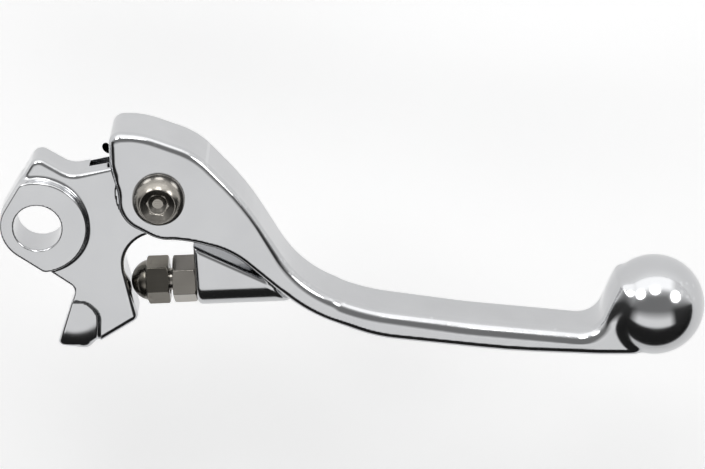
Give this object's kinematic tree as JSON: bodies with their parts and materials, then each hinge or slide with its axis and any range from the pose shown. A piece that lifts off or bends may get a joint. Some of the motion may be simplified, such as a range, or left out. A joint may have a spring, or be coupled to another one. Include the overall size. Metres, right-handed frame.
{
  "type": "clutch lever",
  "caption": "Adjustable spring-back motorcycle clutch lever with a pivoting knuckle, a ball-ended blade and a dome-nut reach adjuster.",
  "frame": {"origin": "axis of the main pivot bore at the lever's mid-plane", "axes": "+Z along the pivot bore towards the bolt head side, +X towards the ball end, +Y forward of the handlebar"},
  "size_m": [0.148, 0.0522, 0.0263],
  "materials": {
    "polished_alloy": "polished",
    "stainless": "satin",
    "spring_steel": "black oxide",
    "bronze": "sintered",
    "nylon": "matte"
  },
  "bodies": {
    "knuckle_body": {"knuckle": "polished_alloy", "pivot_bush": "bronze"},
    "blade_body": {"lever_blade": "polished_alloy", "pivot_bolt": "stainless", "near_thrust_washer": "bronze", "far_thrust_washer": "bronze", "lock_nut": "stainless", "lock_nut_insert": "nylon", "lock_nut_washer": "stainless", "return_spring": "spring_steel"},
    "stud_body": {"adjuster_stud": "stainless"},
    "dome_body": {"dome_nut": "stainless"},
    "jam_body": {"jam_nut": "stainless"}
  },
  "joints": [
    {"name": "reach", "type": "hinge", "parent": "knuckle_body", "child": "blade_body", "pos_m": [0.0254, 0.007, 0], "axis": [0, 0, 1], "range_deg": [-2, 6], "deforming": ["return_spring"]},
    {"name": "adjuster_travel", "type": "slide", "parent": "blade_body", "child": "stud_body", "axis": [-0.999, -0.0436, 0], "range_m": [-0.0008, 0.0023]},
    {"name": "adjuster_turn", "type": "hinge", "parent": "stud_body", "child": "dome_body", "pos_m": [0.0325, -0.0141, 0], "axis": [-0.999, -0.0436, 0], "range_deg": [-270, 800]},
    {"name": "jam_nut_turn", "type": "hinge", "parent": "blade_body", "child": "jam_body", "pos_m": [0.0325, -0.0141, 0], "axis": [-0.999, -0.0436, 0], "range_deg": [0, 180]}
  ],
  "couplings": [
    {"joint": "adjuster_travel", "follows": "reach", "m_per_rad": 0.02},
    {"joint": "adjuster_turn", "follows": "reach", "ratio": 125.66}
  ]
}
